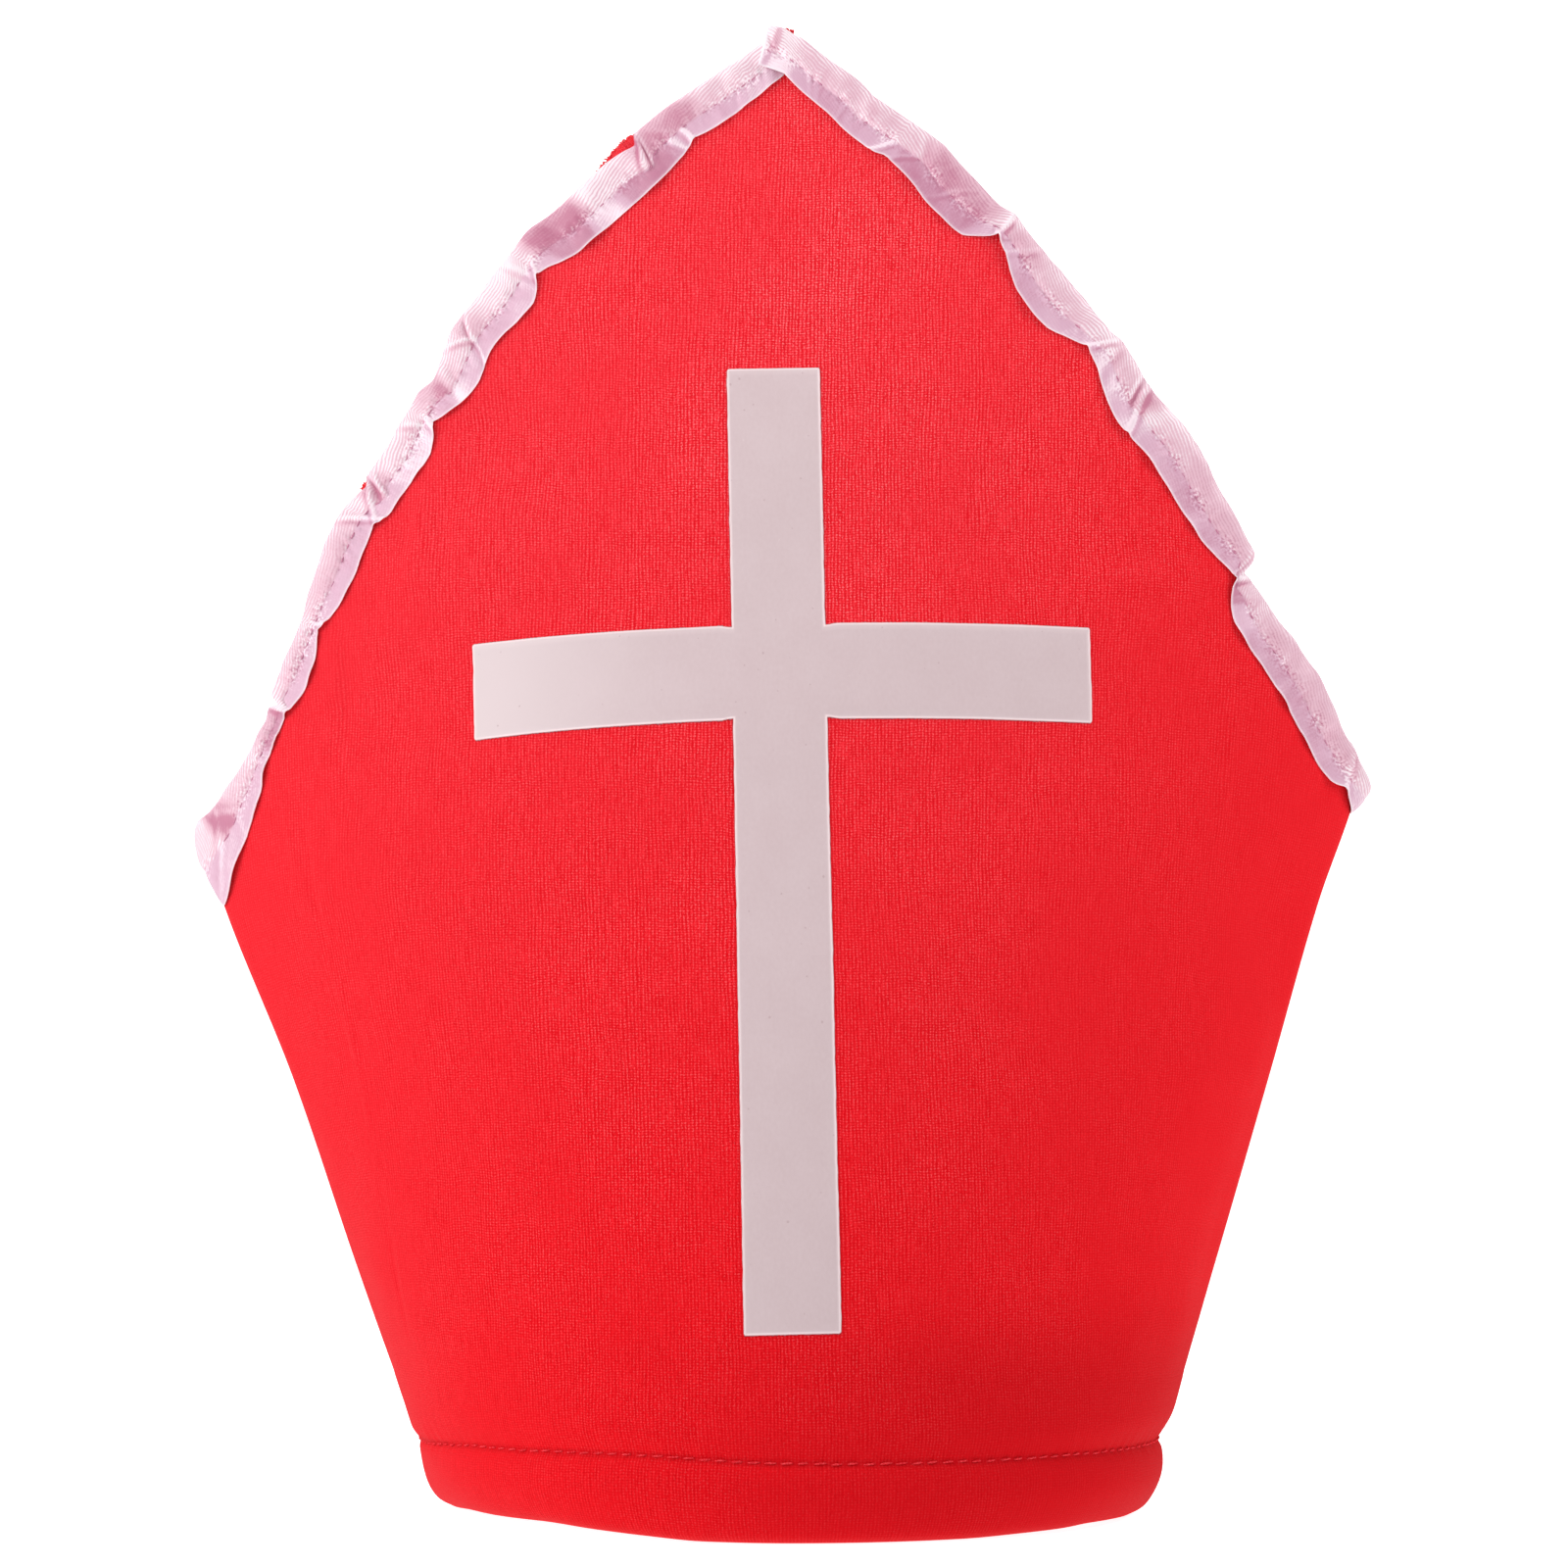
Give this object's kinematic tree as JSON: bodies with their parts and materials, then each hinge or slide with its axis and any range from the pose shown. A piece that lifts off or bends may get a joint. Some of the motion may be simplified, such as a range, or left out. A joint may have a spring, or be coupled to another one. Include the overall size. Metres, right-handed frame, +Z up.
{
  "type": "clergy cap",
  "caption": "Soft costume mitre: shield-shaped panels joined at the sides and open at the top, satin-bound slanted edges, padded hem and a printed Latin cross.",
  "frame": {"origin": "on the surface that the cap stands on, under the middle of the cap", "axes": "+Z up towards the points, -Y towards the printed front, +X to the right as the front is seen"},
  "size_m": [0.2909, 0.1844, 0.3648],
  "materials": {
    "red_knit": "matte knit with a slight sheen",
    "satin_ribbon": "satin",
    "print_film": "matte printed film"
  },
  "bodies": {
    "root": {"front_panel": "red_knit", "back_panel": "red_knit", "left_binding": "satin_ribbon", "right_binding": "satin_ribbon", "cross_print": "print_film"}
  },
  "joints": []
}
